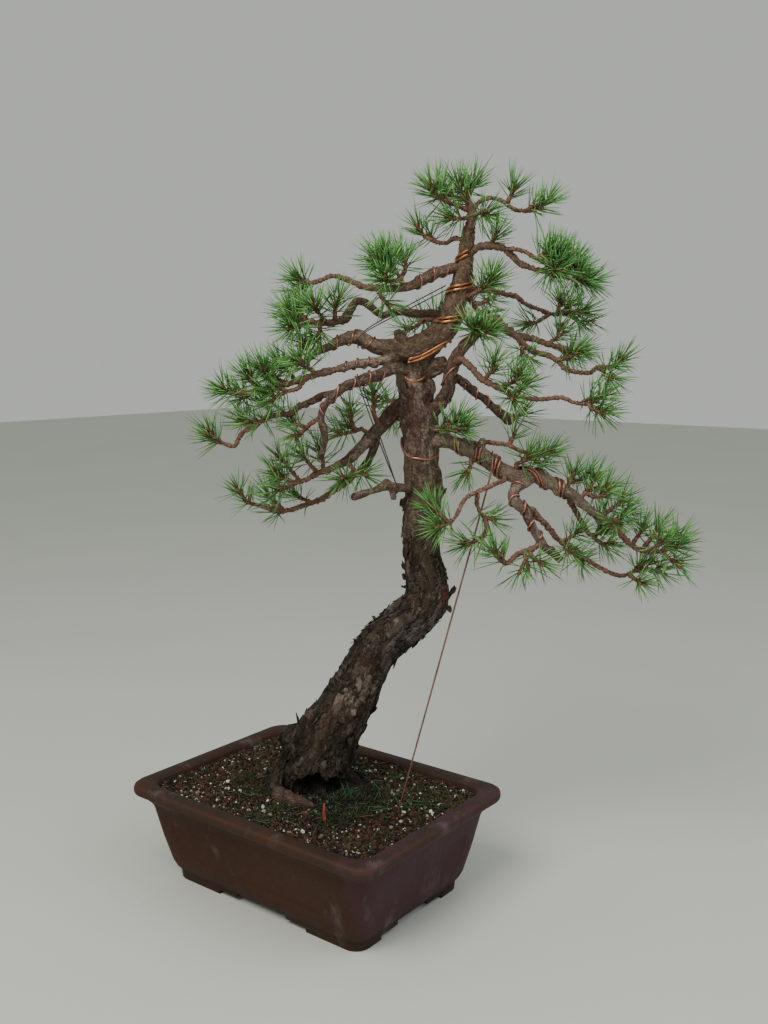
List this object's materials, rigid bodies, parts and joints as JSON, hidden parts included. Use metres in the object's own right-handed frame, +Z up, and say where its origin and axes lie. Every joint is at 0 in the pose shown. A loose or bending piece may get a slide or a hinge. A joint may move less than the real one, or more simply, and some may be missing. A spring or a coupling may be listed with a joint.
{
  "type": "scots pine bonsai in a pot",
  "caption": "Scots pine bonsai with a bent trunk, wired branches and needle tufts, planted off centre in a shallow rectangular clay pot with cloud feet.",
  "frame": {"origin": "middle of the whole object's footprint, on the surface that the pot's feet stand on", "axes": "+Z up; +X along the pot's long side; the front of the tree is seen looking along +Y turned 38 degrees anticlockwise, towards (-0.62, 0.79, 0)"},
  "size_m": [0.616, 0.4466, 0.9181],
  "materials": {
    "bark": "matt, rough, flaking plates, grey-brown low on the trunk and redder above",
    "foliage": "satin, waxy, mid green needles",
    "clay": "matt unglazed stoneware, purplish brown, with faint pale mineral stains",
    "soil": "coarse matt grit, bark and perlite",
    "copper_wire": "annealed copper, dull to bright orange-brown",
    "dark_wire": "dull dark annealed wire",
    "netting": "matt black moulded mesh"
  },
  "bodies": {
    "root": {"wood": "bark", "needles_apex": "foliage", "needles_left_high": "foliage", "needles_right_2": "foliage", "needles_right_3_front": "foliage", "needles_right_3": "foliage", "needles_right_4_front": "foliage", "needles_right_4": "foliage", "needles_right_4_low": "foliage", "needles_right_5": "foliage", "needles_right_5_low": "foliage", "needles_trunk_right": "foliage", "needles_right_6_upper": "foliage", "needles_right_6_top": "foliage", "needles_right_6_shoulder": "foliage", "needles_right_6_under": "foliage", "needles_right_6_front": "foliage", "needles_right_6_fall": "foliage", "needles_right_6_fork": "foliage", "needles_right_6_drop": "foliage", "needles_right_6_mid": "foliage", "needles_right_6_tip": "foliage", "needles_left_1_front": "foliage", "needles_left_1": "foliage", "needles_left_3": "foliage", "needles_left_2": "foliage", "needles_left_4": "foliage", "needles_left_5": "foliage", "needles_left_5_side": "foliage", "needles_left_6_upper": "foliage", "needles_left_6_inner": "foliage", "needles_left_6": "foliage", "needles_left_6_right": "foliage", "needles_left_6_low": "foliage", "needles_back_low": "foliage", "needles_back_top": "foliage", "needles_back_right": "foliage", "wire_neck": "copper_wire", "wire_leader_1": "copper_wire", "wire_leader_2": "copper_wire", "wire_trunk": "copper_wire", "wire_right_6_1": "copper_wire", "wire_right_6_2": "copper_wire", "wire_left_2": "copper_wire", "wire_left_4": "copper_wire", "wire_left_5": "copper_wire", "wire_left_1": "copper_wire", "wire_right_4": "copper_wire", "wire_right_5_low": "copper_wire", "wire_right_6_fall": "copper_wire", "guy_right": "copper_wire", "guy_left": "dark_wire", "guy_top": "dark_wire", "pot": "clay", "soil": "soil", "drain_screen_left": "netting", "drain_screen_right": "netting"}
  },
  "joints": []
}
